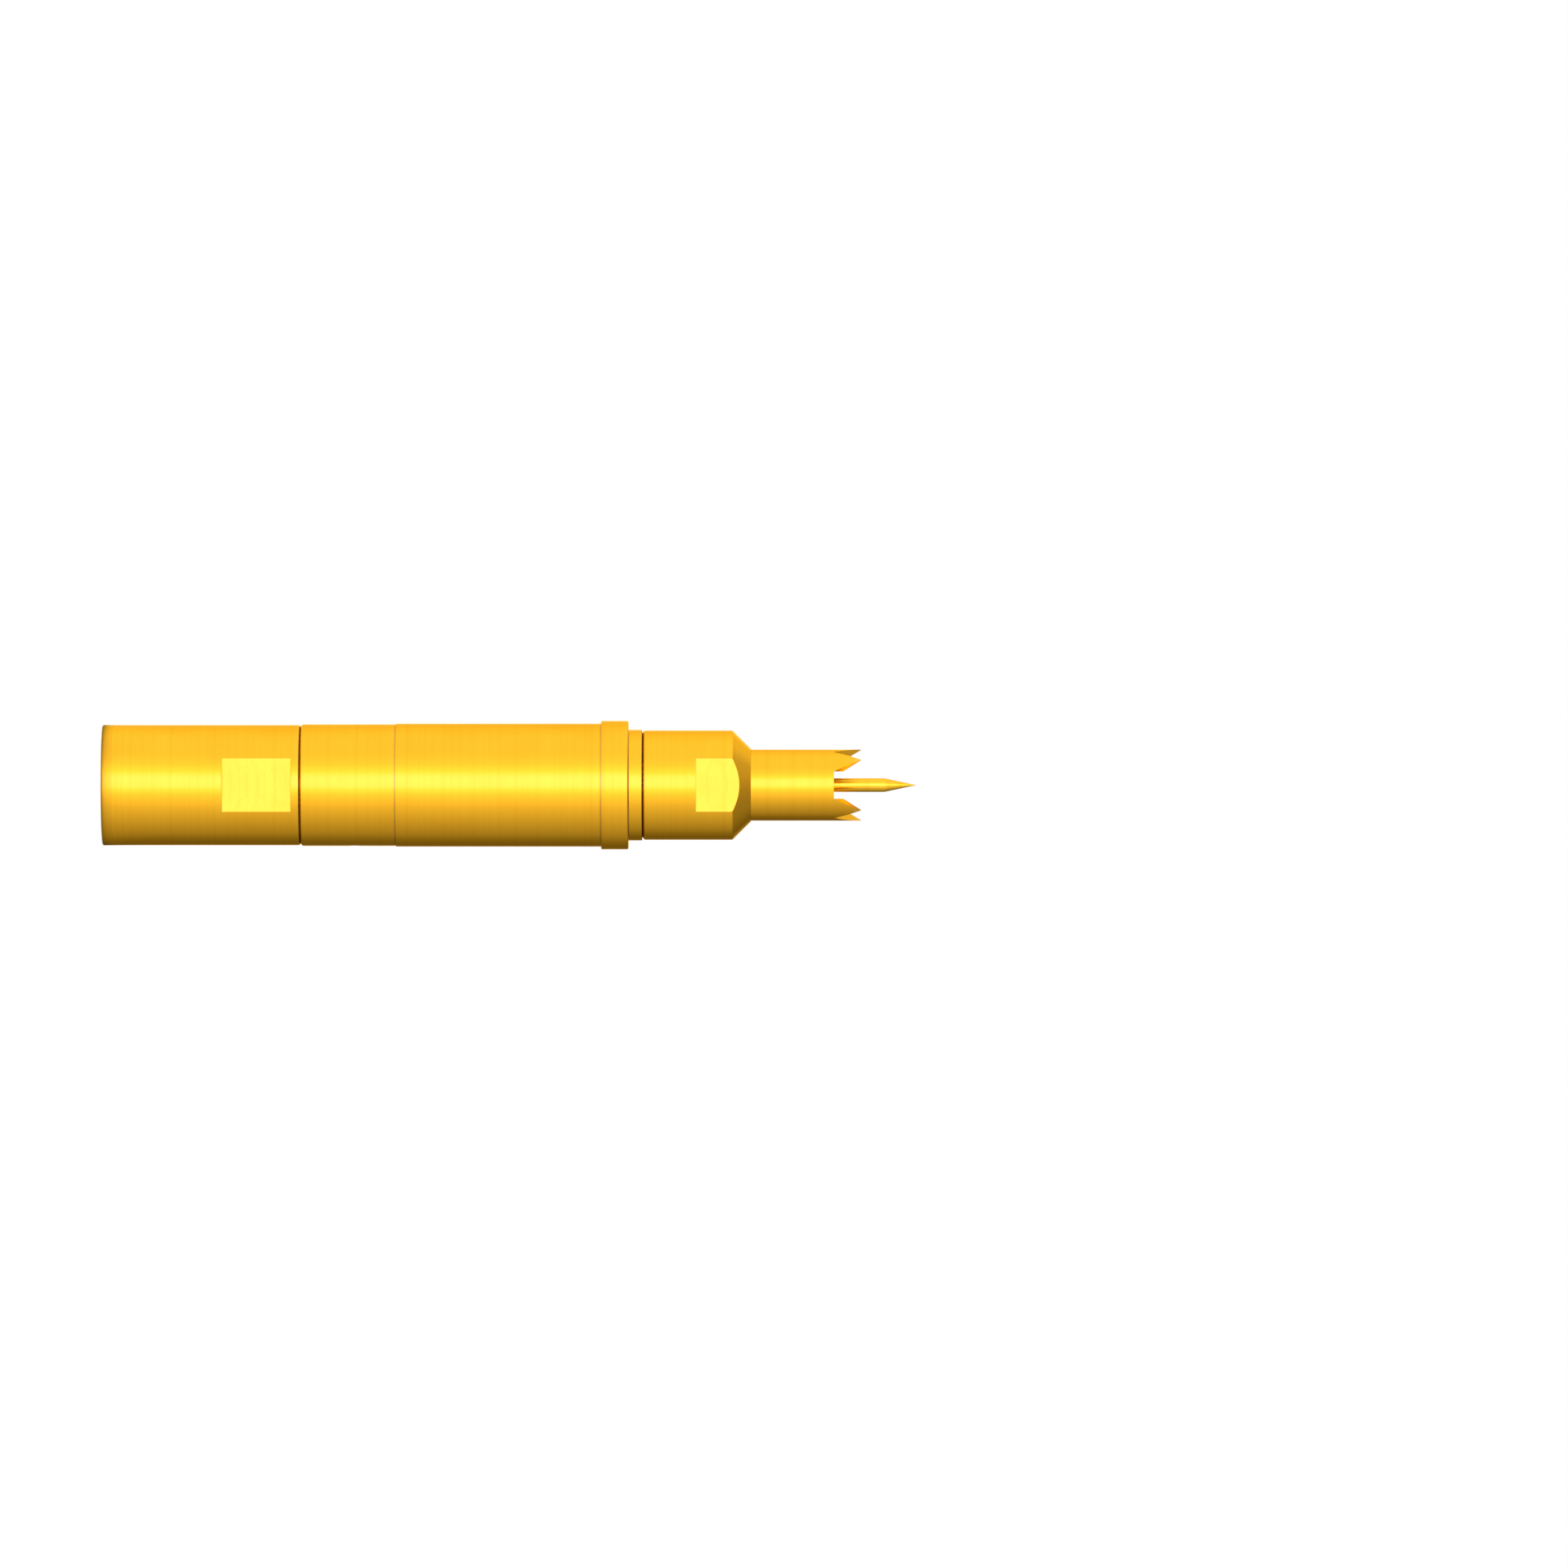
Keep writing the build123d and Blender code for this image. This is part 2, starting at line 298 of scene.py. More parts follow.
class NodeSheet:
    """Adds nodes to a material or a world, and links them."""

    def __init__(self, owner: Union[bpy.types.Material, bpy.types.World]) -> None:
        """Empties the node tree of a material or a world.

        Args:
            owner: The material or the world.
        """
        owner.use_nodes = True
        self.tree = owner.node_tree
        self.tree.nodes.clear()

    def add(self, kind: str, **settings: object) -> bpy.types.Node:
        """Adds a node and sets its properties.

        Args:
            kind: The node's type.
            settings: Its properties by name.

        Returns:
            The new node.
        """
        node = self.tree.nodes.new(kind)
        for key, value in settings.items():
            setattr(node, key, value)
        return node

    def link(self, source: Socket, target: Socket) -> None:
        """Links an output to an input."""
        self.tree.links.new(source, target)

    def math(self, operation: str, first: Number, second: Number = 0.0) -> Socket:
        """Adds a Math node whose inputs are sockets or numbers.

        Args:
            operation: Name of the Math node's operation.
            first: Socket or number for its first input.
            second: Socket or number for its second input.

        Returns:
            The node's output.
        """
        node = self.add("ShaderNodeMath", operation=operation)
        for socket, value in zip(node.inputs, (first, second)):
            if isinstance(value, Socket):
                self.link(value, socket)
            else:
                socket.default_value = value
        return node.outputs[0]

    def weighted(self, first: Socket, second: Socket, weights: tuple[float, float]) -> Socket:
        """Adds the sum of two values, each times its weight."""
        parts = [self.math("MULTIPLY", value, weight) for value, weight in zip((first, second), weights)]
        return self.math("ADD", *parts)

    def position(self) -> Socket:
        """Adds the place on the piece.

        Returns:
            The place as a vector in millimetres.
        """
        place = self.add("ShaderNodeTexCoord")
        scaled = self.add("ShaderNodeVectorMath", operation="SCALE")
        scaled.inputs["Scale"].default_value = 1 / MM
        self.link(place.outputs["Object"], scaled.inputs[0])
        return scaled.outputs[0]

    def along(self, position: Socket, axis: str) -> Socket:
        """Adds the place along one axis.

        Args:
            position: The place on the piece.
            axis: X, Y or Z.

        Returns:
            The coordinate in millimetres.
        """
        split = self.add("ShaderNodeSeparateXYZ")
        self.link(position, split.inputs[0])
        return split.outputs[axis]

    def axis_distance(self, position: Socket) -> Socket:
        """Adds the distance from the probe's axis.

        Args:
            position: The place on the piece.

        Returns:
            The distance in millimetres.
        """
        across = self.add("ShaderNodeVectorMath", operation="MULTIPLY")
        across.inputs[1].default_value = (1, 1, 0)
        self.link(position, across.inputs[0])
        distance = self.add("ShaderNodeVectorMath", operation="LENGTH")
        self.link(across.outputs[0], distance.inputs[0])
        return distance.outputs["Value"]

    def lathe_position(self, position: Socket) -> Socket:
        """Adds the place for marks that run round a piece.

        Args:
            position: The place on the piece.

        Returns:
            A vector of the distance from the axis, nothing, and the height.
        """
        lathe = self.add("ShaderNodeCombineXYZ")
        self.link(self.axis_distance(position), lathe.inputs["X"])
        self.link(self.along(position, "Z"), lathe.inputs["Z"])
        return lathe.outputs[0]

    def noise(self, position: Socket, pattern: Pattern) -> Socket:
        """Adds noise.

        Args:
            position: The place on the piece.
            pattern: The noise's pattern.

        Returns:
            The noise's value.
        """
        node = self.add("ShaderNodeTexNoise")
        node.inputs["Scale"].default_value = pattern.scale
        node.inputs["Detail"].default_value = pattern.detail
        self.link(position, node.inputs["Vector"])
        return node.outputs["Fac"]

    def ramped(self, value: Socket, ramp: Ramp) -> Socket:
        """Maps a value from one range to another, eased and clamped.

        Args:
            value: The value to map.
            ramp: Where it starts and ends, and the results there.

        Returns:
            The mapped output.
        """
        node = self.add("ShaderNodeMapRange", interpolation_type="SMOOTHSTEP")
        for name, number in zip(("From Min", "From Max", "To Min", "To Max"), ramp):
            node.inputs[name].default_value = number
        self.link(value, node.inputs["Value"])
        return node.outputs["Result"]

    def roughened(self, value: Socket, span: tuple[float, float], middle: float, spread: float) -> Socket:
        """Maps a value to a roughness that lies within a spread of its middle."""
        return self.ramped(value, Ramp(*span, middle - spread, middle + spread))

    def mixed(self, share: Socket, first: Tint, second: Tint) -> Socket:
        """Mixes two colours.

        Args:
            share: Share of the second colour.
            first: The first colour, or a socket.
            second: The second colour, or a socket.

        Returns:
            The mixed colour.
        """
        node = self.add("ShaderNodeMix", data_type="RGBA")
        self.link(share, node.inputs["Factor"])
        for index, value in zip(MIX_INPUTS, (first, second)):
            if isinstance(value, Socket):
                self.link(value, node.inputs[index])
            else:
                node.inputs[index].default_value = (*value, 1.0)
        return node.outputs[MIX_OUTPUT]

    def bump(self, height: Socket, depth: float) -> Socket:
        """Adds bump.

        Args:
            height: The relief, between 0 and about 1.
            depth: Its depth in millimetres.

        Returns:
            The normal.
        """
        node = self.add("ShaderNodeBump")
        node.inputs["Strength"].default_value = 1.0
        node.inputs["Distance"].default_value = depth * MM
        self.link(height, node.inputs["Height"])
        return node.outputs["Normal"]

    def output(self, result: Socket, kind: str = "ShaderNodeOutputMaterial") -> None:
        """Adds the output node and links the result to its surface."""
        self.link(result, self.add(kind).inputs["Surface"])

    def surface(self) -> bpy.types.Node:
        """Adds the surface shader and the output node.

        Returns:
            The shader.
        """
        shader = self.add("ShaderNodeBsdfPrincipled")
        self.output(shader.outputs[0])
        return shader


class Seam(NamedTuple):
    """A height in millimetres where a line of painted shade and residue lies, and how much of it."""

    height: float
    share: float


class Wear(NamedTuple):
    """The heights in millimetres between which wear grows, and the colour of the bare metal."""

    start: float
    end: float
    colour: Colour


# Turning marks, smudges, wear, and painted shade in the marks and seams on metal: the noise, the ramps that
# turn it into patches, and its weights
MARKS = Pattern(5.0, 4.0)
FINE_MARKS = Pattern(40.0, 2.0)
SMUDGES = Pattern(0.45, 3.0)
GRAINS = Pattern(9.0, 2.0)
DEEP_PATCHES = Ramp(0.35, 0.75)
MARK_SHADE_PATCHES = Ramp(0.46, 0.7, 0.0, 0.6)
WORN_PATCHES = Ramp(0.42, 0.62)
SEAM_SHADE_AND_RESIDUE_PATCHES = Ramp(0.3, 0.6, 0.75, 1.0)
MARK_WEIGHTS = (0.5, 0.5)
ROUGHNESS_WEIGHTS = (0.6, 0.4)
ROUGHNESS_SPAN = (0.35, 0.65)
RELIEF_WEIGHTS = (1.0, 0.15)
WEAR_SHARE = 0.55

# Painted shade and residue in a seam: how far it reaches in millimetres, and how much of that is at full
# strength
SEAM_REACH = 0.045
SEAM_CORE = 0.45
SEAM_SHADE_AND_RESIDUE_COLOUR: Colour = (0.34, 0.25, 0.175)


@dataclass(frozen=True)
class MetalFinish:
    """A turned metal surface, plain or plated. The depth of its marks is in millimetres."""

    slot: str
    colour: Colour
    deep_colour: Colour
    rim_colour: Colour
    roughness: float
    roughness_spread: float
    mark_depth: float
    mark_shade_colour: Colour | None = None
    seams: tuple[Seam, ...] = ()
    wear: Wear | None = None

    def material(self) -> bpy.types.Material:
        """Makes the material, with turning marks darkened by painted shade, smudges, wear where the piece is
        rubbed, and painted shade and residue in the seams.

        Returns:
            The material, named as its slot.
        """
        material = bpy.data.materials.new(self.slot)
        sheet = NodeSheet(material)
        shader = sheet.surface()
        position = sheet.position()
        height = sheet.along(position, "Z")
        lathe = sheet.lathe_position(position)
        marks = sheet.noise(lathe, MARKS)
        fine_marks = sheet.noise(lathe, FINE_MARKS)
        smudges = sheet.noise(position, SMUDGES)
        grains = sheet.noise(position, GRAINS)

        colour = sheet.mixed(sheet.ramped(smudges, DEEP_PATCHES), self.colour, self.deep_colour)
        # Painted shade in the turning marks: the base colour turns to a darker gold along the deepest marks
        if self.mark_shade_colour is not None:
            shaded_marks = sheet.ramped(sheet.weighted(marks, fine_marks, MARK_WEIGHTS), MARK_SHADE_PATCHES)
            colour = sheet.mixed(shaded_marks, colour, self.mark_shade_colour)
        if self.wear is not None:
            colour = self.rubbed(sheet, colour, height, grains)
        # Painted shade and residue darken the base colour along each seam and step
        for seam in self.seams:
            colour = self.shaded_and_stained(sheet, colour, height, grains, seam)
        sheet.link(colour, shader.inputs["Base Color"])

        mottled = sheet.weighted(marks, smudges, ROUGHNESS_WEIGHTS)
        roughness = sheet.roughened(mottled, ROUGHNESS_SPAN, self.roughness, self.roughness_spread)
        sheet.link(roughness, shader.inputs["Roughness"])

        relief = sheet.weighted(marks, fine_marks, RELIEF_WEIGHTS)
        sheet.link(sheet.bump(relief, self.mark_depth), shader.inputs["Normal"])
        shader.inputs["Metallic"].default_value = 1.0
        shader.inputs["Specular Tint"].default_value = (*self.rim_colour, 1.0)
        return material

    def rubbed(self, sheet: NodeSheet, colour: Socket, height: Socket, grains: Socket) -> Socket:
        """Adds patchy wear towards the tip.

        Args:
            sheet: The material's sheet.
            colour: The colour so far.
            height: The height on the piece.
            grains: Fine noise.

        Returns:
            The colour with the wear.
        """
        grown = sheet.ramped(height, Ramp(self.wear.start, self.wear.end))
        patches = sheet.math("MULTIPLY", grown, sheet.ramped(grains, WORN_PATCHES))
        return sheet.mixed(sheet.math("MULTIPLY", patches, WEAR_SHARE), colour, self.wear.colour)

    @staticmethod
    def shaded_and_stained(sheet: NodeSheet, colour: Socket, height: Socket, grains: Socket, seam: Seam) -> Socket:
        """Adds the painted shade and residue in one seam.

        Args:
            sheet: The material's sheet.
            colour: The colour so far.
            height: The height on the piece.
            grains: Fine noise.
            seam: The seam.

        Returns:
            The colour with the residue.
        """
        away = sheet.math("ABSOLUTE", sheet.math("SUBTRACT", height, seam.height))
        near = sheet.ramped(away, Ramp(SEAM_CORE * SEAM_REACH, SEAM_REACH, seam.share, 0.0))
        patches = sheet.math("MULTIPLY", near, sheet.ramped(grains, SEAM_SHADE_AND_RESIDUE_PATCHES))
        return sheet.mixed(patches, colour, SEAM_SHADE_AND_RESIDUE_COLOUR)


@dataclass(frozen=True)
class PlasticFinish:
    """A turned fluoropolymer surface. Depth and reach are in millimetres."""

    slot: str
    colour: Colour
    shade_colour: Colour
    roughness: float
    mark_depth: float
    marks: Pattern = Pattern(6.0, 3.0)
    mottle: Pattern = Pattern(2.5, 4.0)
    mottle_patches: Ramp = Ramp(0.35, 0.7)
    roughness_span: tuple[float, float] = (0.3, 0.7)
    roughness_spread: float = 0.06
    relief_weights: tuple[float, float] = (1.0, 0.3)
    scatter_share: float = 0.15
    scatter_reach: float = 0.4

    def material(self) -> bpy.types.Material:
        """Makes the material, waxy and faintly mottled, with soft turning marks.

        Returns:
            The material, named as its slot.
        """
        material = bpy.data.materials.new(self.slot)
        sheet = NodeSheet(material)
        shader = sheet.surface()
        position = sheet.position()
        marks = sheet.noise(sheet.lathe_position(position), self.marks)
        mottle = sheet.noise(position, self.mottle)

        colour = sheet.mixed(sheet.ramped(mottle, self.mottle_patches), self.colour, self.shade_colour)
        sheet.link(colour, shader.inputs["Base Color"])
        roughness = sheet.roughened(marks, self.roughness_span, self.roughness, self.roughness_spread)
        sheet.link(roughness, shader.inputs["Roughness"])
        relief = sheet.weighted(marks, mottle, self.relief_weights)
        sheet.link(sheet.bump(relief, self.mark_depth), shader.inputs["Normal"])

        shader.inputs["Subsurface Weight"].default_value = self.scatter_share
        shader.inputs["Subsurface Radius"].default_value = (self.scatter_reach * MM,) * 3
        shader.inputs["Subsurface Scale"].default_value = 1.0
        return material


Finish = Union[MetalFinish, PlasticFinish]

GOLD: Colour = (1.0, 0.631, 0.0625)
GOLD_DEEP: Colour = (0.985, 0.60, 0.055)
GOLD_RIM: Colour = (1.0, 0.82, 0.44)
# Darker gold painted into the turning marks as shade
GOLD_MARK_SHADE: Colour = (0.86, 0.50, 0.0375)
GOLD_WORN: Colour = (0.95, 0.825, 0.55)
PIN_COLOUR: Colour = (1.0, 0.69, 0.085)

# Painted shade and residue at the seams and steps: connector to barrel, fit land, collar's rear and front,
# barrel to cap, and cap to crown
SHELL_SEAMS = (
    Seam(7.21, 0.95),
    Seam(10.69, 0.5),
    Seam(18.19, 0.45),
    Seam(19.21, 0.45),
    Seam(19.71, 0.95),
    Seam(23.7, 0.95),
)

SHELL_GOLD = MetalFinish(
    slot="gold_plated_shell",
    colour=GOLD,
    deep_colour=GOLD_DEEP,
    rim_colour=GOLD_RIM,
    roughness=0.17,
    roughness_spread=0.04,
    mark_depth=0.002,
    mark_shade_colour=GOLD_MARK_SHADE,
    seams=SHELL_SEAMS,
)
CROWN_GOLD = replace(
    SHELL_GOLD,
    slot="gold_plated_crown",
    roughness=0.18,
    mark_depth=0.0015,
    seams=(),
    wear=Wear(27.2, 27.75, GOLD_WORN),
)
PIN_GOLD = replace(
    CROWN_GOLD,
    slot="gold_plated_contact",
    colour=PIN_COLOUR,
    deep_colour=GOLD,
    roughness=0.16,
    roughness_spread=0.03,
    mark_depth=0.0008,
    wear=Wear(29.1, 29.75, GOLD_WORN),
)
BRASS = MetalFinish(
    slot="plain_brass",
    colour=(0.78, 0.55, 0.22),
    deep_colour=(0.7, 0.47, 0.17),
    rim_colour=(0.95, 0.8, 0.5),
    roughness=0.3,
    roughness_spread=0.05,
    mark_depth=0.0008,
)
STEEL = MetalFinish(
    slot="spring_steel",
    colour=(0.56, 0.55, 0.54),
    deep_colour=(0.46, 0.45, 0.44),
    rim_colour=(0.9, 0.9, 0.9),
    roughness=0.28,
    roughness_spread=0.05,
    mark_depth=0.0005,
)
INSULATOR = PlasticFinish(
    slot="white_insulator",
    colour=(0.82, 0.82, 0.8),
    shade_colour=(0.76, 0.755, 0.73),
    roughness=0.42,
    mark_depth=0.0015,
)


class FinishShelf:
    """Makes each finish once and dresses pieces and CAD nodes with it."""

    def __init__(self) -> None:
        """Starts with no material made."""
        self.made: dict[str, bpy.types.Material] = {}

    def material(self, finish: Finish) -> bpy.types.Material:
        """Gives the finish's material, which is made on first use.

        Args:
            finish: The finish.

        Returns:
            Its material.
        """
        if finish.slot not in self.made:
            self.made[finish.slot] = finish.material()
        return self.made[finish.slot]

    def dress(self, obj: bpy.types.Object, finish: Finish) -> None:
        """Gives an object the finish's material in every slot, adding a slot if it has none.

        Args:
            obj: A piece or a CAD node.
            finish: The finish.
        """
        material = self.material(finish)
        if not obj.data.materials:
            obj.data.materials.append(material)
        for slot in obj.material_slots:
            slot.material = material


# Sub-assemblies


class SubAssembly:
    """A group of pieces that is built and dressed together."""

    def __init__(self, shelf: FinishShelf) -> None:
        """Keeps the shelf that the finishes come from."""
        self.shelf = shelf

    def place(
        self,
        name: str,
        bm: BMesh,
        finish: Finish,
        body: Body,
        node: str,
        cutters: Sequence[BMesh] = (),
        edge: float = 0.0,
        sharp: float = SOFT_ANGLE,
    ) -> bpy.types.Object:
        """Makes a piece from a bmesh in millimetres, dresses it and sets it on its body.

        Args:
            name: The piece's name.
            bm: Its blank.
            finish: Its finish.
            body: The body that it rides on.
            node: The CAD node that it stands for.
            cutters: What is cut from the blank.
            edge: Width of the edge break after the cuts.
            sharp: Angle in radians from which an edge stays sharp.

        Returns:
            The finished object.
        """
        obj = scratch_object(bm, name)
        if cutters:
            cut(obj, cutters)
        if edge > 0:
            break_edges(obj, edge)
        smooth(obj, sharp)
        obj.data.transform(Matrix.Scale(MM, 4))
        obj.data.name = name
        self.shelf.dress(obj, finish)
        self.shelf.dress(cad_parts[node], finish)
        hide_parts(node)
        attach(obj, body.value)
        log.info("%s: %d faces, stands for %s", name, len(obj.data.polygons), node)
        return obj

    def dress_nodes(self, finish: Finish, *nodes: str) -> None:
        """Dresses CAD nodes that stay as they are.

        Args:
            finish: Their finish.
            nodes: Their names.
        """
        for node in nodes:
            self.shelf.dress(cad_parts[node], finish)
            log.info("%s: CAD piece in %s", node, finish.slot)


@dataclass(frozen=True)
class ConnectorSizes:
    """Sizes of the rear connector, in millimetres."""

    radius: float = 2.2
    length: float = 7.2
    flats_width: float = 3.95
    flats_rear: float = 4.4
    flats_front: float = 6.9
    flats_edge: float = 0.02
    spigot_radius: float = 1.735
    spigot_front: float = 9.6
    jack_radius: float = 1.75
    jack_depth: float = 2.6
    lead_in: float = 0.15
    groove_radius: float = 1.87
    groove_rear: float = 0.9
    groove_front: float = 1.3
    seat_radius: float = 1.45
    socket_radius: float = 0.5
    socket_bore: float = 0.27
    socket_bore_floor: float = 5.0
    socket_front: float = 8.6
    socket_slot: float = 0.09
    socket_slot_end: float = 4.6
    socket_slot_edge: float = 0.01
    flange_radius: float = 0.8
    flange_rear: float = 6.0
    flange_front: float = 6.4
    cup_radius: float = 0.3
    cup_floor: float = 7.6
    gap: float = 0.015
    cutter_reach: float = 1.0


class Connector(SubAssembly):
    """The rear shell with its push-on jack, socket contact and insulators."""

    sizes = ConnectorSizes()

    def build(self) -> None:
        """Builds and dresses every piece of the connector."""
        self.build_shell()
        self.build_insulator()
        self.build_socket()
        self.dress_nodes(INSULATOR, "bead_insulator")
        self.dress_nodes(BRASS, "clamp_ring")

    def build_shell(self) -> None:
        """Builds the shell: jack, snap groove, flats and spigot."""
        size = self.sizes
        blank = turned([
            Corner(size.jack_radius + size.lead_in, 0, STEP_EDGE),
            Corner(size.radius, 0, RIM_EDGE),
            Corner(size.radius, size.flats_rear - RING_SPACING),
            Corner(size.radius, size.flats_front + RING_SPACING),
            Corner(size.radius, size.length, SEAM_EDGE),
            Corner(size.spigot_radius, size.length),
            Corner(size.spigot_radius, size.spigot_front, END_EDGE),
            Corner(size.seat_radius, size.spigot_front, END_EDGE),
            Corner(size.seat_radius, size.jack_depth, STEP_EDGE),
            Corner(size.jack_radius, size.jack_depth, END_EDGE),
            Corner(size.jack_radius, size.groove_front, STEP_EDGE),
            Corner(size.groove_radius, size.groove_front, END_EDGE),
            Corner(size.groove_radius, size.groove_rear, END_EDGE),
            Corner(size.jack_radius, size.groove_rear, STEP_EDGE),
            Corner(size.jack_radius, size.lead_in, END_EDGE),
        ])
        cutters = flat_cutters(size.flats_width, size.radius, size.flats_rear, size.flats_front)
        self.place(
            "connector_shell", blank, SHELL_GOLD, Body.SHELL, "connector_body", cutters, size.flats_edge,
        )

    def build_insulator(self) -> None:
        """Builds the insulator at the bottom of the jack."""
        size = self.sizes
        bore = size.socket_radius + size.gap
        outer = size.seat_radius - size.gap
        flange = size.flange_radius + size.gap
        blank = turned([
            Corner(bore, size.jack_depth, END_EDGE),
            Corner(outer, size.jack_depth, RIM_EDGE),
            Corner(outer, size.flange_front, RIM_EDGE),
            Corner(flange, size.flange_front, STEP_EDGE),
            Corner(flange, size.flange_rear),
            Corner(bore, size.flange_rear, STEP_EDGE),
        ])
        self.place("jack_insulator", blank, INSULATOR, Body.SHELL, "connector_insulator")

    def build_socket(self) -> None:
        """Builds the slotted centre contact."""
        size = self.sizes
        blank = turned([
            Corner(0, size.socket_bore_floor),
            Corner(size.socket_bore, size.socket_bore_floor),
            Corner(size.socket_bore, size.jack_depth, SEAM_EDGE),
            Corner(size.socket_radius, size.jack_depth, LEAD_EDGE),
            Corner(size.socket_radius, size.flange_rear),
            Corner(size.flange_radius, size.flange_rear, END_EDGE),
            Corner(size.flange_radius, size.flange_front, END_EDGE),
            Corner(size.socket_radius, size.flange_front),
            Corner(size.socket_radius, size.socket_front, END_EDGE),
            Corner(size.cup_radius, size.socket_front, END_EDGE),
            Corner(size.cup_radius, size.cup_floor),
            Corner(0, size.cup_floor),
        ], closed=False)
        half = size.socket_slot / 2
        wide = size.cutter_reach
        rear = size.jack_depth - size.cutter_reach
        cutters = [
            block((-wide, -half, rear), (wide, half, size.socket_slot_end)),
            block((-half, -wide, rear), (half, wide, size.socket_slot_end)),
        ]
        self.place(
            "jack_contact", blank, PIN_GOLD, Body.SHELL, "connector_socket", cutters, size.socket_slot_edge,
        )


@dataclass(frozen=True)
class BarrelSizes:
    """Sizes of the barrel and the cap on its front, in millimetres."""

    rear: float = 7.2
    land_radius: float = 2.225
    chamfer: float = 0.09
    fit_rear: float = 10.7
    fit_radius: float = 2.25
    collar_rear: float = 18.2
    collar_front: float = 19.2
    collar_radius: float = 2.35
    neck_radius: float = 2.025
    front: float = 19.7
    rear_seat_radius: float = 1.75
    rear_seat_floor: float = 9.6
    bore_radius: float = 1.6
    front_seat_radius: float = 1.75
    front_seat_floor: float = 17.4
    hole_radius: float = 0.21
    hole_edge: float = 0.02
    hole_height: float = 9.2
    cap_radius: float = 2.0
    cap_chamfer: float = 0.09
    cone_rear: float = 23.0
    cap_front: float = 23.67
    cap_bore_radius: float = 1.32
    mouth_land: float = 0.01
    lip_rear: float = 21.47
    skirt_radius: float = 1.735
    skirt_bore_radius: float = 1.55
    skirt_rear: float = 17.45
    cap_flats_width: float = 3.5
    cap_flats_rear: float = 21.67
    cap_flats_edge: float = 0.015
    cutter_reach: float = 1.0


class Barrel(SubAssembly):
    """The main tube and its front cap."""

    sizes = BarrelSizes()

    def build(self) -> None:
        """Builds and dresses every piece of the barrel."""
        self.build_tube()
        self.build_cap()
        self.dress_nodes(STEEL, "spring_seat")
        self.dress_nodes(INSULATOR, "dielectric_sleeve")

    def build_tube(self) -> None:
        """Builds the tube with its land, fit land, collar, neck and staking hole."""
        size = self.sizes
        blank = turned([
            Corner(size.rear_seat_radius, size.rear, STEP_EDGE),
            Corner(size.land_radius - size.chamfer, size.rear, STEP_EDGE),
            Corner(size.land_radius, size.rear + size.chamfer, STEP_EDGE),
            Corner(size.land_radius, size.hole_height - size.hole_radius - RING_SPACING),
            Corner(size.land_radius, size.hole_height + size.hole_radius + RING_SPACING),
            Corner(size.land_radius, size.fit_rear),
            Corner(size.fit_radius, size.fit_rear, STEP_EDGE),
            Corner(size.fit_radius, size.collar_rear),
            Corner(size.collar_radius, size.collar_rear, COLLAR_EDGE),
            Corner(size.collar_radius, size.collar_front, RIM_EDGE),
            Corner(size.neck_radius, size.collar_front, SEAM_EDGE),
            Corner(size.neck_radius, size.front, STEP_EDGE),
            Corner(size.front_seat_radius, size.front, STEP_EDGE),
            Corner(size.front_seat_radius, size.front_seat_floor),
            Corner(size.bore_radius, size.front_seat_floor, STEP_EDGE),
            Corner(size.bore_radius, size.rear_seat_floor, STEP_EDGE),
            Corner(size.rear_seat_radius, size.rear_seat_floor),
        ])
        self.place("barrel_tube", blank, SHELL_GOLD, Body.SHELL, "barrel", [self.hole_cutter()])

    def hole_cutter(self) -> BMesh:
        """Makes the drill of the staking hole, which also leaves a small countersink.

        Returns:
            The drill in millimetres, lying along X through the land.
        """
        size = self.sizes
        wide = size.hole_radius + 2 * size.hole_edge
        drill = turned([
            Corner(0, -size.cutter_reach),
            Corner(size.hole_radius, -size.cutter_reach),
            Corner(size.hole_radius, -size.hole_edge),
            Corner(wide, size.hole_edge),
            Corner(wide, size.cutter_reach),
            Corner(0, size.cutter_reach),
        ], closed=False, steps=DRILL_STEPS)
        rotated(drill, QUARTER_TURN, "Y")
        bmesh.ops.translate(drill, vec=(size.land_radius, 0, size.hole_height), verts=drill.verts[:])
        return drill

    def build_cap(self) -> None:
        """Builds the cap with its cone, wrench flats, guide bore and skirt."""
        size = self.sizes
        mouth = size.cap_bore_radius + size.mouth_land
        blank = turned([
            Corner(size.skirt_bore_radius, size.skirt_rear, END_EDGE),
            Corner(size.skirt_radius, size.skirt_rear, LEAD_EDGE),
            Corner(size.skirt_radius, size.front),
            Corner(size.cap_radius - size.cap_chamfer, size.front, STEP_EDGE),
            Corner(size.cap_radius, size.front + size.cap_chamfer, STEP_EDGE),
            Corner(size.cap_radius, size.cap_flats_rear - RING_SPACING),
            Corner(size.cap_radius, size.cone_rear, SEAM_EDGE),
            Corner(mouth, size.cap_front),
            Corner(size.cap_bore_radius, size.cap_front),
            Corner(size.cap_bore_radius, size.lip_rear, END_EDGE),
            Corner(size.skirt_bore_radius, size.lip_rear),
        ])
        past_front = size.cap_front + size.cutter_reach
        cutters = flat_cutters(size.cap_flats_width, size.cap_radius, size.cap_flats_rear, past_front)
        self.place(
            "front_cap_shell", blank, SHELL_GOLD, Body.SHELL, "front_cap", cutters, size.cap_flats_edge,
        )


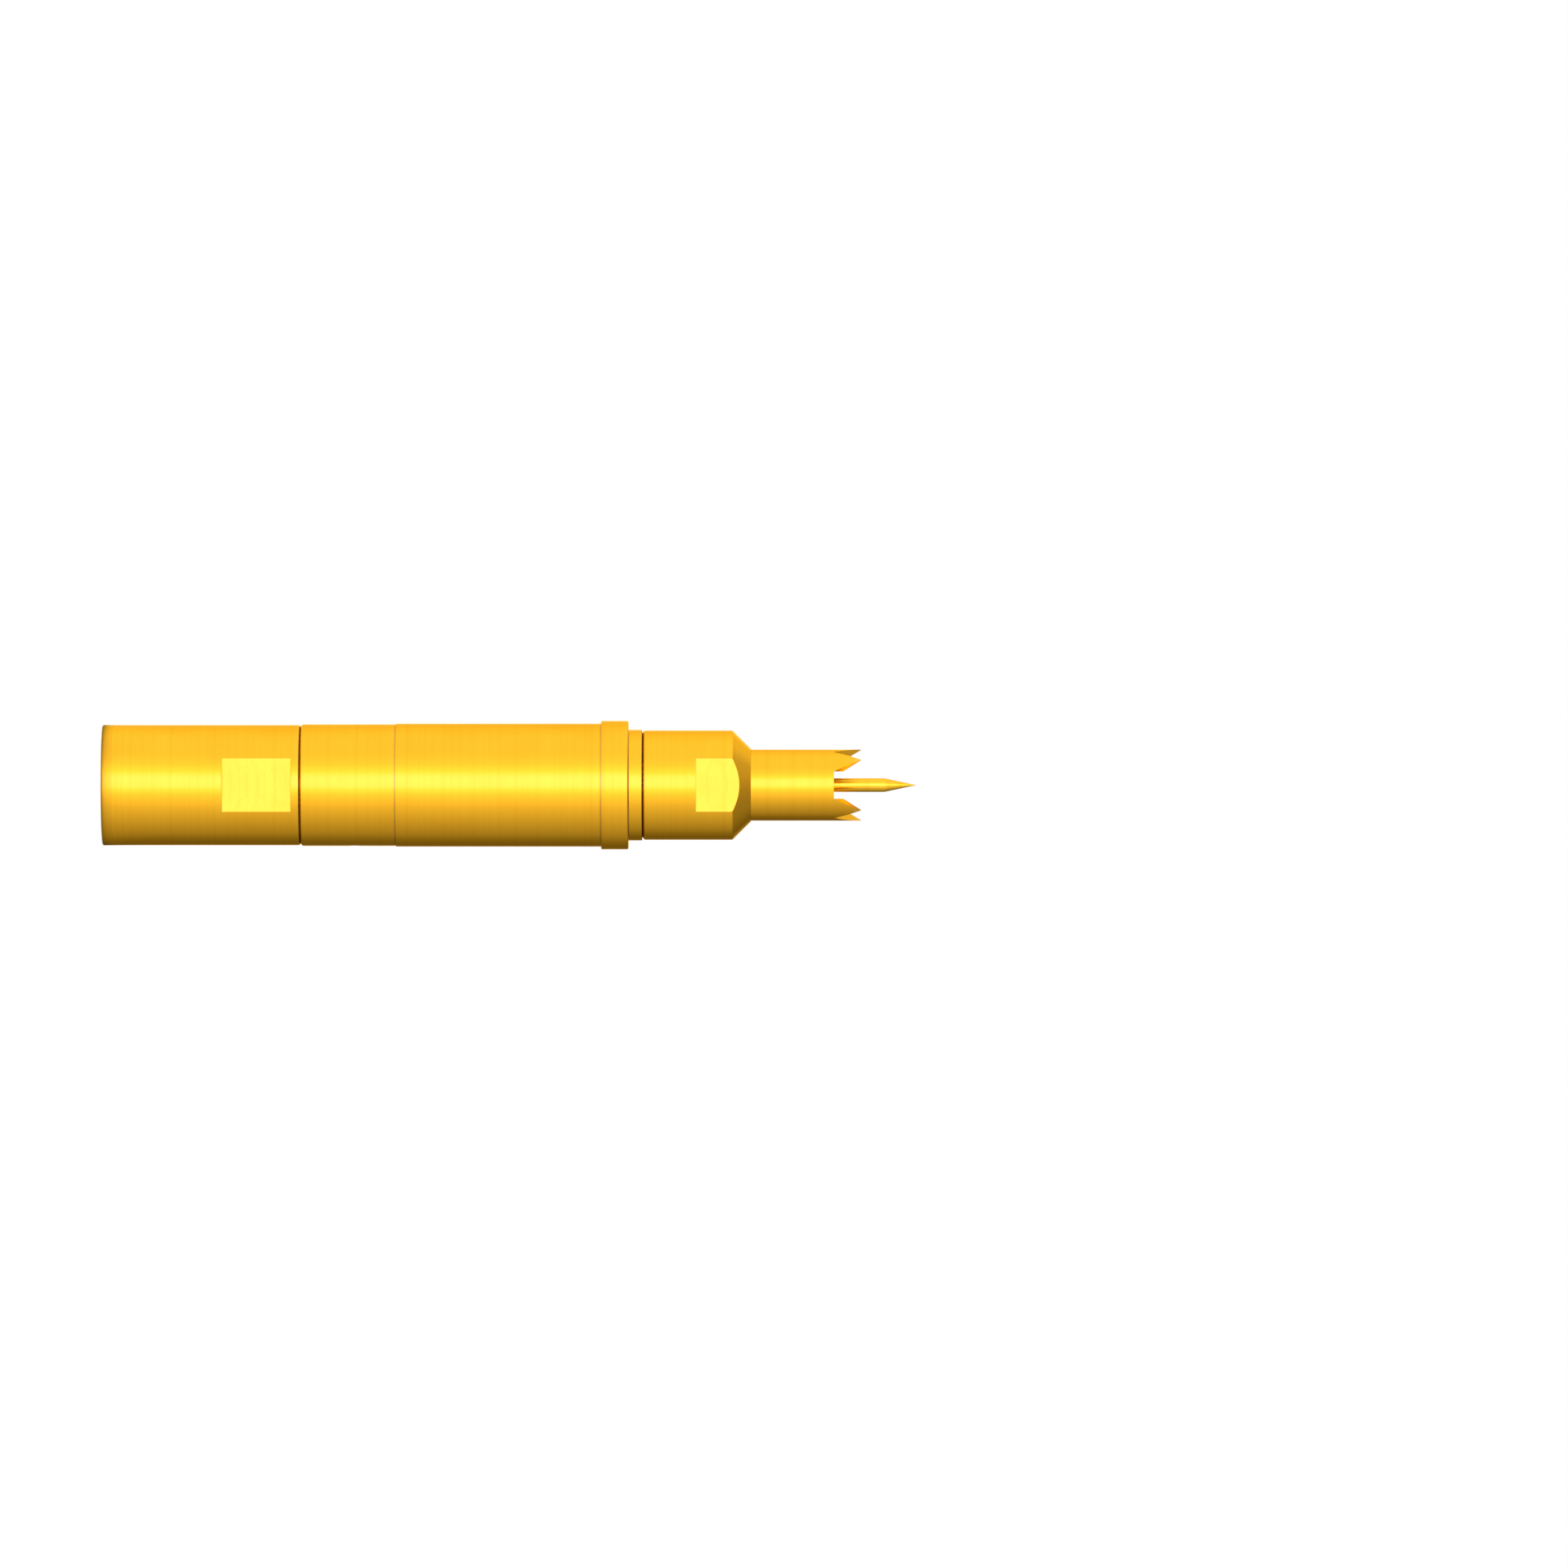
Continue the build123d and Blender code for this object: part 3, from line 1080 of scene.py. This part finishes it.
@dataclass(frozen=True)
class CrownSizes:
    """Sizes of the crown plunger and its insulator, in millimetres."""

    radius: float = 1.3
    tip: float = 27.7
    tooth_height: float = 1.0
    divisions: int = 8
    land: float = 0.02
    countersink_floor: float = 26.73
    throat_radius: float = 0.72
    ledge: float = 26.4
    bore_radius: float = 0.95
    tail_radius: float = 1.12
    tail_rear: float = 13.1
    head_rear: float = 21.45
    insulator_bore: float = 0.3
    insulator_radius: float = 0.935
    insulator_rear: float = 24.4
    groove_clearance: float = 0.5
    slot_clearance: float = 1.0

    @property
    def gap_floor(self) -> float:
        """Height of the bottom of the gaps between the teeth."""
        return self.tip - self.tooth_height

    @property
    def half_gap(self) -> float:
        """Half the width of a gap at the tips of the teeth."""
        return self.radius * math.sin(math.pi / self.divisions)


class Crown(SubAssembly):
    """The crown plunger with its teeth, and what rides inside it."""

    sizes = CrownSizes()

    def build(self) -> None:
        """Builds and dresses every piece of the crown."""
        self.build_plunger()
        self.build_insulator()
        self.dress_nodes(BRASS, "crown_stop_ring", "insulator_retainer")
        self.dress_nodes(STEEL, "thrust_washer")

    def groove_cutter(self) -> BMesh:
        """Makes the prism of V section that cuts two opposite gaps between teeth.

        Returns:
            The prism in millimetres, lying along Y.
        """
        size = self.sizes
        top = size.tip + size.groove_clearance
        half_top = size.half_gap * (size.tooth_height + size.groove_clearance) / size.tooth_height
        reach = 2 * size.radius
        bm = bmesh.new()
        outline = [(0, -reach, size.gap_floor), (half_top, -reach, top), (-half_top, -reach, top)]
        face = bm.faces.new([bm.verts.new(point) for point in outline])
        pulled = bmesh.ops.extrude_face_region(bm, geom=[face])
        moved = [item for item in pulled["geom"] if isinstance(item, bmesh.types.BMVert)]
        bmesh.ops.translate(bm, vec=(0, 2 * reach, 0), verts=moved)
        bmesh.ops.recalc_face_normals(bm, faces=bm.faces[:])
        return bm

    def slot_cutter(self) -> BMesh:
        """Makes the block that cuts the slot across the crown.

        Returns:
            The block in millimetres, lying along Y.
        """
        size = self.sizes
        reach = 3 * size.radius
        top = size.tip + size.slot_clearance
        return block((-size.half_gap, -reach, size.gap_floor), (size.half_gap, reach, top))

    def build_plunger(self) -> None:
        """Builds the plunger: countersunk, with V gaps round the rim and a slot across it."""
        size = self.sizes
        blank = turned([
            Corner(size.bore_radius, size.tail_rear, STEP_EDGE),
            Corner(size.tail_radius, size.tail_rear, SEAM_EDGE),
            Corner(size.tail_radius, size.head_rear),
            Corner(size.radius, size.head_rear, SEAM_EDGE),
            Corner(size.radius, size.gap_floor - RING_SPACING),
            Corner(size.radius, size.tip),
            Corner(size.radius - size.land, size.tip),
            Corner(size.throat_radius, size.countersink_floor),
            Corner(size.throat_radius, size.ledge),
            Corner(size.bore_radius, size.ledge),
        ])
        step = FULL_TURN / size.divisions
        angles = [(index + 0.5) * step for index in range(size.divisions // 2)]
        cutters = [rotated(self.groove_cutter(), angle, "Z") for angle in angles]
        cutters.append(self.slot_cutter())
        self.place("crown", blank, CROWN_GOLD, Body.CROWN, "crown_plunger", cutters, sharp=CRISP_ANGLE)

    def build_insulator(self) -> None:
        """Builds the insulator that centres the pin in the crown."""
        size = self.sizes
        blank = turned([
            Corner(size.insulator_bore, size.insulator_rear, END_EDGE),
            Corner(size.insulator_radius, size.insulator_rear, END_EDGE),
            Corner(size.insulator_radius, size.ledge, END_EDGE),
            Corner(size.insulator_bore, size.ledge, RIM_EDGE),
        ])
        self.place("crown_insulator", blank, INSULATOR, Body.CROWN, "front_insulator")


@dataclass(frozen=True)
class PinSizes:
    """Sizes of the centre pin, in millimetres."""

    radius: float = 0.25
    tip: float = 29.7
    tip_round: float = 0.006
    point_length: float = 1.15
    head_radius: float = 0.33
    head_rear: float = 18.48
    head_front: float = 20.45


class CentrePin(SubAssembly):
    """The centre pin, its tube and what is in the tube."""

    sizes = PinSizes()

    def build(self) -> None:
        """Builds and dresses every piece of the centre contact."""
        size = self.sizes
        blank = turned([
            Corner(0, size.head_rear),
            Corner(size.head_radius, size.head_rear, SEAM_EDGE),
            Corner(size.head_radius, size.head_front, END_EDGE),
            Corner(size.radius, size.head_front),
            Corner(size.radius, size.tip - size.point_length, END_EDGE),
            Corner(size.tip_round, size.tip - size.tip_round),
            Corner(0, size.tip),
        ], closed=False, steps=THIN_TURN_STEPS)
        self.place("contact_pin", blank, PIN_GOLD, Body.PIN, "centre_pin")
        self.dress_nodes(PIN_GOLD, "pin_tube")
        self.dress_nodes(BRASS, "tube_plug")
        self.dress_nodes(STEEL, "bias_ball")


@dataclass(frozen=True)
class SpringSizes:
    """Names and sizes of one compression spring, in millimetres."""

    name: str
    node: str
    joint: str
    coil_radius: float
    wire_radius: float
    active_turns: float
    rear: float
    front: float
    stroke: float
    wire_sides: int
    turn_steps: int
    closed_turns: float = 2.0


class Springs(SubAssembly):
    """The two compression springs, with closed and ground ends."""

    crown_spring = SpringSizes(
        name="crown_coil",
        node="crown_spring",
        joint="crown_slide",
        coil_radius=1.35,
        wire_radius=0.14,
        active_turns=8.0,
        rear=10.0,
        front=20.67,
        stroke=3.0,
        wire_sides=12,
        turn_steps=36,
    )
    pin_spring = SpringSizes(
        name="pin_coil",
        node="pin_spring",
        joint="pin_slide",
        coil_radius=0.26,
        wire_radius=0.04,
        active_turns=16.0,
        rear=9.8,
        front=17.976,
        stroke=5.0,
        wire_sides=8,
        turn_steps=24,
    )

    def build(self) -> None:
        """Builds both springs."""
        self.build_spring(self.crown_spring)
        self.build_spring(self.pin_spring)

    @staticmethod
    def coil(size: SpringSizes) -> BMesh:
        """Winds the wire, one wire past the spring's ends, and leaves its own ends open.

        Args:
            size: The spring's sizes.

        Returns:
            The wound wire in millimetres.
        """
        wire = 2 * size.wire_radius
        start = size.rear - wire
        closed_rise = size.closed_turns * wire
        active_rise = size.front + wire - start - 2 * closed_rise
        ends = (size.closed_turns, closed_rise)
        bm = bmesh.new()
        ring = bmesh.ops.create_circle(
            bm, cap_ends=False, segments=size.wire_sides, radius=size.wire_radius,
        )["verts"]
        rotated(bm, QUARTER_TURN, "X")
        bmesh.ops.translate(bm, vec=(size.coil_radius, 0, start), verts=ring)
        section: list[bmesh.types.BMVert | bmesh.types.BMEdge] = bm.verts[:] + bm.edges[:]
        for turns, rise in (ends, (size.active_turns, active_rise), ends):
            steps = round(turns * size.turn_steps)
            spun = bmesh.ops.spin(
                bm, geom=section, cent=(0, 0, 0), axis=(0, 0, 1), angle=FULL_TURN * turns,
                dvec=(0, 0, rise / steps), steps=steps,
            )
            section = spun["geom_last"]
        bmesh.ops.remove_doubles(bm, verts=bm.verts[:], dist=MERGE_DISTANCE)
        return bm

    def build_spring(self, size: SpringSizes) -> None:
        """Builds a spring, with its coil cut flat and closed at both ends.

        Args:
            size: The spring's sizes.
        """
        bm = self.coil(size)
        for height, side in ((size.rear, -1), (size.front, 1)):
            bmesh.ops.bisect_plane(
                bm, geom=bm.verts[:] + bm.edges[:] + bm.faces[:], dist=PLANE_DISTANCE,
                plane_co=(0, 0, height), plane_no=(0, 0, side), clear_outer=True,
            )
        bmesh.ops.holes_fill(bm, edges=[edge for edge in bm.edges if edge.is_boundary], sides=0)
        bmesh.ops.recalc_face_normals(bm, faces=bm.faces[:])
        obj = self.place(size.name, bm, STEEL, Body.SHELL, size.node, sharp=WIRE_ANGLE)
        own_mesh(obj)


# Studio


@dataclass(frozen=True)
class StudioSizes:
    """Sizes, colours and levels of the studio. Lengths are in millimetres."""

    world_light: float = 0.8
    world_white: float = 1.0
    floor_radius: float = 1500.0
    floor_height: float = -0.02
    floor_colour: Colour = (0.88, 0.88, 0.88)
    floor_glow: float = 0.33
    tent_radius: float = 80.0
    tent_height: float = 180.0
    tent_foot: float = -0.01

    # Height from which the wall's light gives way to the roof's, and the roof's levels at -X and +X
    roof_start: float = 40.0
    roof_levels: tuple[float, float] = (0.6, 0.31)

    # Share of its light that the tent has at the probe's foot, a painted contact shadow in what the metal
    # mirrors, and the radius where it has all of it
    foot_shadow_level: float = 0.15
    foot_shadow_reach: float = 10.0

    # Colours of the cloth, and the level from which it turns from the first to the second
    warm_cloth: Colour = (1.0, 0.8, 0.4)
    cool_cloth: Colour = (1.0, 0.8, 0.96)
    cool_start: float = 1.7

    lamp_size: float = 300.0
    lamp_power: float = 1.4
    lamp_place: Point = (-30.0, -400.0, 500.0)
    lamp_target: Point = (0.0, 0.0, 10.0)
    camera_height: float = 24.88
    camera_side: float = -0.04
    frame_width: float = 57.3
    lens: float = 400.0
    sensor: float = 36.0
    nearest: float = 50.0
    farthest: float = 10000.0


class Studio:
    """White background, pale floor, soft light and the camera."""

    sizes = StudioSizes()

    # Level of the tent's wall by the angle in degrees from the camera's side towards the picture's top
    wall_levels: tuple[tuple[float, float], ...] = (
        (-166, 0.35), (-152, 0.145), (-132, 0.19), (-118, 0.26), (-106, 0.36), (-86, 0.49), (-70, 0.62),
        (-54, 0.77), (-40, 0.93), (-34, 1.04), (-20, 1.29), (-13, 1.53), (-4, 1.93), (3, 2.0), (13, 2.0),
        (20, 1.87), (26, 1.62), (34, 1.45), (40, 1.3), (60, 1.16), (100, 1.16), (132, 1.04), (152, 0.95),
        (164, 1.2), (172, 1.6), (180, 1.3),
    )
    strongest_level = 2.0

    # Where the camera's side is in the gradient round the axis, which goes from 0 to 1
    camera_share = 0.25

    def build(self) -> None:
        """Builds the whole studio."""
        self.build_world()
        self.build_floor()
        self.build_tent()
        self.build_lamp()
        self.build_camera()

    @staticmethod
    def background_share(sheet: NodeSheet) -> Socket:
        """Adds the test for rays that look at the background, straight, mirrored or through glass.

        Args:
            sheet: The sheet of a material or of the world.

        Returns:
            A value of 1 for those rays and of 0 for the light that falls on the probe.
        """
        path = sheet.add("ShaderNodeLightPath")
        mirrored = sheet.math("MAXIMUM", path.outputs["Is Glossy Ray"], path.outputs["Is Transmission Ray"])
        return sheet.math("MAXIMUM", path.outputs["Is Camera Ray"], mirrored)

    def build_world(self) -> None:
        """Makes a world that is a white background and soft light from all round."""
        size = self.sizes
        world = bpy.data.worlds.new("studio")
        bpy.context.scene.world = world
        sheet = NodeSheet(world)
        light = sheet.add("ShaderNodeBackground")
        light.inputs["Color"].default_value = (1, 1, 1, 1)
        light.inputs["Strength"].default_value = size.world_light
        white = sheet.add("ShaderNodeBackground")
        white.inputs["Color"].default_value = (1, 1, 1, 1)
        white.inputs["Strength"].default_value = size.world_white
        mix = sheet.add("ShaderNodeMixShader")
        sheet.link(self.background_share(sheet), mix.inputs[0])
        sheet.link(light.outputs[0], mix.inputs[1])
        sheet.link(white.outputs[0], mix.inputs[2])
        sheet.output(mix.outputs[0], "ShaderNodeOutputWorld")

    def build_floor(self) -> None:
        """Makes a pale floor that is white in the light and keeps the shadow."""
        size = self.sizes
        bm = bmesh.new()
        bmesh.ops.create_circle(bm, cap_ends=True, segments=THIN_TURN_STEPS, radius=size.floor_radius)
        bmesh.ops.translate(bm, vec=(0, 0, size.floor_height), verts=bm.verts[:])
        floor = scratch_object(bm, "floor")
        floor.data.transform(Matrix.Scale(MM, 4))
        floor.data.materials.append(self.floor_material())

    def floor_material(self) -> bpy.types.Material:
        """Makes the floor's paper, which glows a little where the camera sees it.

        Returns:
            The material.
        """
        size = self.sizes
        material = bpy.data.materials.new("pale_floor")
        sheet = NodeSheet(material)
        paper = sheet.add("ShaderNodeBsdfDiffuse")
        paper.inputs["Color"].default_value = (*size.floor_colour, 1)
        glow = sheet.add("ShaderNodeEmission")
        level = sheet.math("MULTIPLY", self.background_share(sheet), size.floor_glow)
        sheet.link(level, glow.inputs["Strength"])
        both = sheet.add("ShaderNodeAddShader")
        sheet.link(paper.outputs[0], both.inputs[0])
        sheet.link(glow.outputs[0], both.inputs[1])
        sheet.output(both.outputs[0])
        return material

    def build_tent(self) -> None:
        """Makes the small tent that the metal mirrors, from white to grey round the axis."""
        size = self.sizes
        bm = turned([
            Corner(0, size.tent_foot),
            Corner(size.tent_radius, size.tent_foot),
            Corner(size.tent_radius, size.tent_height),
            Corner(0, size.tent_height),
        ], closed=False, steps=THIN_TURN_STEPS)
        bmesh.ops.reverse_faces(bm, faces=bm.faces[:])
        tent = scratch_object(bm, "tent")
        tent.data.transform(Matrix.Scale(MM, 4))
        tent.data.shade_smooth()
        tent.data.materials.append(self.tent_material())
        tent.visible_camera = False
        tent.visible_diffuse = False
        tent.visible_transmission = False
        tent.visible_volume_scatter = False
        tent.visible_shadow = False

    def grey(self, level: float) -> tuple[float, float, float, float]:
        """Gives the grey that stands for a level, where white is the strongest."""
        return (*[level / self.strongest_level] * 3, 1)

    def wall_level(self, sheet: NodeSheet, position: Socket) -> Socket:
        """Adds the level of the tent's wall, a curve round the axis.

        Args:
            sheet: The sheet of the tent's cloth.
            position: The place on the tent.

        Returns:
            The level.
        """
        around = sheet.add("ShaderNodeTexGradient", gradient_type="RADIAL")
        sheet.link(position, around.inputs["Vector"])
        curve = sheet.add("ShaderNodeValToRGB")
        sheet.link(around.outputs["Fac"], curve.inputs["Fac"])
        stops = sorted(((self.camera_share - angle / 360) % 1.0, level) for angle, level in self.wall_levels)
        joint_level = (stops[0][1] + stops[-1][1]) / 2
        elements = curve.color_ramp.elements
        for element, place in zip(list(elements), (0.0, 1.0)):
            element.position = place
            element.color = self.grey(joint_level)
        for place, level in stops:
            if 0 < place < 1:
                elements.new(place).color = self.grey(level)
        return sheet.math("MULTIPLY", curve.outputs["Color"], self.strongest_level)

    def tent_material(self) -> bpy.types.Material:
        """Makes the tent's cloth, whose level evens out under the roof and fades at the foot into a painted
        contact shadow.

        Returns:
            The material.
        """
        size = self.sizes
        material = bpy.data.materials.new("tent_cloth")
        sheet = NodeSheet(material)
        position = sheet.position()
        foot_shadow_ramp = Ramp(0.0, size.foot_shadow_reach, size.foot_shadow_level, 1.0)
        # Painted contact shadow: the cloth's level drops towards the probe's foot
        foot = sheet.ramped(sheet.axis_distance(position), foot_shadow_ramp)
        lift = sheet.ramped(sheet.along(position, "Z"), Ramp(size.roof_start, size.tent_height))
        wall = sheet.math("MULTIPLY", self.wall_level(sheet, position), foot)
        wall_part = sheet.math("MULTIPLY", wall, sheet.math("SUBTRACT", 1.0, lift))
        roof_ramp = Ramp(-size.tent_radius, size.tent_radius, *size.roof_levels)
        roof_part = sheet.math("MULTIPLY", lift, sheet.ramped(sheet.along(position, "X"), roof_ramp))
        cool = sheet.ramped(wall_part, Ramp(size.cool_start, self.strongest_level))
        glow = sheet.add("ShaderNodeEmission")
        sheet.link(sheet.mixed(cool, size.warm_cloth, size.cool_cloth), glow.inputs["Color"])
        sheet.link(sheet.math("ADD", wall_part, roof_part), glow.inputs["Strength"])
        sheet.output(glow.outputs[0])
        material.cycles.emission_sampling = "NONE"
        return material

    def build_lamp(self) -> None:
        """Hangs one large soft lamp in front of the probe, above it."""
        size = self.sizes
        lamp = bpy.data.lights.new("soft_lamp", "AREA")
        lamp.shape = "DISK"
        lamp.size = size.lamp_size * MM
        lamp.energy = size.lamp_power
        obj = bpy.data.objects.new("soft_lamp", lamp)
        bpy.context.scene.collection.objects.link(obj)
        aim = Vector(size.lamp_target) - Vector(size.lamp_place)
        obj.location = Vector(size.lamp_place) * MM
        obj.rotation_mode = "QUATERNION"
        obj.rotation_quaternion = aim.to_track_quat("-Z", "Y")
        obj.visible_camera = False
        obj.visible_glossy = False

    def build_camera(self) -> None:
        """Sets the camera square to the axis, with the probe lying along the picture."""
        size = self.sizes
        data = bpy.data.cameras.new("camera")
        data.lens = size.lens
        data.sensor_width = size.sensor
        data.clip_start = size.nearest * MM
        data.clip_end = size.farthest * MM
        camera = bpy.data.objects.new("camera", data)
        bpy.context.scene.collection.objects.link(camera)
        distance = size.frame_width * size.lens / size.sensor
        right, up, back = Vector((0, 0, 1)), Vector((-1, 0, 0)), Vector((0, -1, 0))
        turn = Matrix((right, up, back)).transposed().to_4x4()
        place = Vector((size.camera_side, -distance, size.camera_height)) * MM
        camera.matrix_world = Matrix.Translation(place) @ turn
        bpy.context.scene.camera = camera


def main() -> None:
    """Builds the probe and its studio in order."""
    logging.basicConfig(level=logging.INFO, format="%(message)s")
    bpy.context.scene.view_settings.view_transform = "Standard"
    shelf = FinishShelf()
    for part in (Connector(shelf), Barrel(shelf), Crown(shelf), CentrePin(shelf), Springs(shelf)):
        log.info("%s", type(part).__name__)
        part.build()
    Studio().build()


if __name__ == "__main__":
    main()
